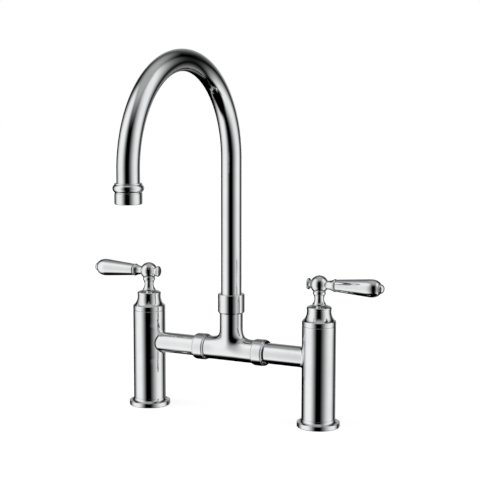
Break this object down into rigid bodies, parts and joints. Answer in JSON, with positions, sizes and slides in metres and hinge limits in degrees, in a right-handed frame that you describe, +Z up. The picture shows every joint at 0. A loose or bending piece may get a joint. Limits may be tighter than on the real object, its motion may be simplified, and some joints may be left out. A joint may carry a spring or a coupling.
{
  "type": "bridge kitchen faucet",
  "caption": "Bridge kitchen faucet: lever valve pillars joined by a pipe bridge that carries a swivelling gooseneck spout.",
  "frame": {"origin": "on the deck, midway between the centres of the pillars", "axes": "+X along the bridge to the right-hand pillar as seen from the user, -Y the way the spout reaches, +Z up"},
  "size_m": [0.3432, 0.2389, 0.3862],
  "materials": {
    "chrome": "polished",
    "brass": "machined",
    "ceramic": "lapped",
    "rubber": "matte",
    "nylon": "matte"
  },
  "bodies": {
    "frame": {"left_base_flange": "chrome", "left_base_seal": "rubber", "left_pillar": "chrome", "left_bonnet": "chrome", "left_cartridge_body": "brass", "left_cartridge_seal": "rubber", "left_fixed_disc": "ceramic", "left_union_nut": "chrome", "left_union_washer": "rubber", "right_base_flange": "chrome", "right_base_seal": "rubber", "right_pillar": "chrome", "right_bonnet": "chrome", "right_cartridge_body": "brass", "right_cartridge_seal": "rubber", "right_fixed_disc": "ceramic", "right_union_nut": "chrome", "right_union_washer": "rubber", "tee_body": "chrome", "spout_nut": "chrome", "thrust_washer": "nylon"},
    "spout": {"spout_spigot": "brass", "lower_spout_seal": "rubber", "upper_spout_seal": "rubber", "retaining_ring": "nylon", "spout_tube": "chrome", "outlet_collar": "chrome", "aerator_housing": "chrome", "aerator_insert": "nylon", "aerator_washer": "rubber"},
    "left_lever": {"left_moving_disc": "ceramic", "left_spindle": "brass", "left_spindle_seal": "rubber", "left_spindle_clip": "brass", "left_lever_hub": "chrome", "left_lever_rod": "chrome", "left_lever_grip": "chrome", "left_lever_finial": "chrome", "left_hub_button": "chrome", "left_grub_screw": "brass"},
    "right_lever": {"right_moving_disc": "ceramic", "right_spindle": "brass", "right_spindle_seal": "rubber", "right_spindle_clip": "brass", "right_lever_hub": "chrome", "right_lever_rod": "chrome", "right_lever_grip": "chrome", "right_lever_finial": "chrome", "right_hub_button": "chrome", "right_grub_screw": "brass"}
  },
  "joints": [
    {"name": "spout_swivel", "type": "hinge", "parent": "frame", "child": "spout", "pos_m": [0, 0, 0.12], "axis": [0, 0, 1], "continuous": true},
    {"name": "left_lever_turn", "type": "hinge", "parent": "frame", "child": "left_lever", "pos_m": [-0.1016, 0, 0.12], "axis": [0, 0, 1], "range_deg": [0, 90]},
    {"name": "right_lever_turn", "type": "hinge", "parent": "frame", "child": "right_lever", "pos_m": [0.1016, 0, 0.12], "axis": [0, 0, -1], "range_deg": [0, 90]}
  ]
}
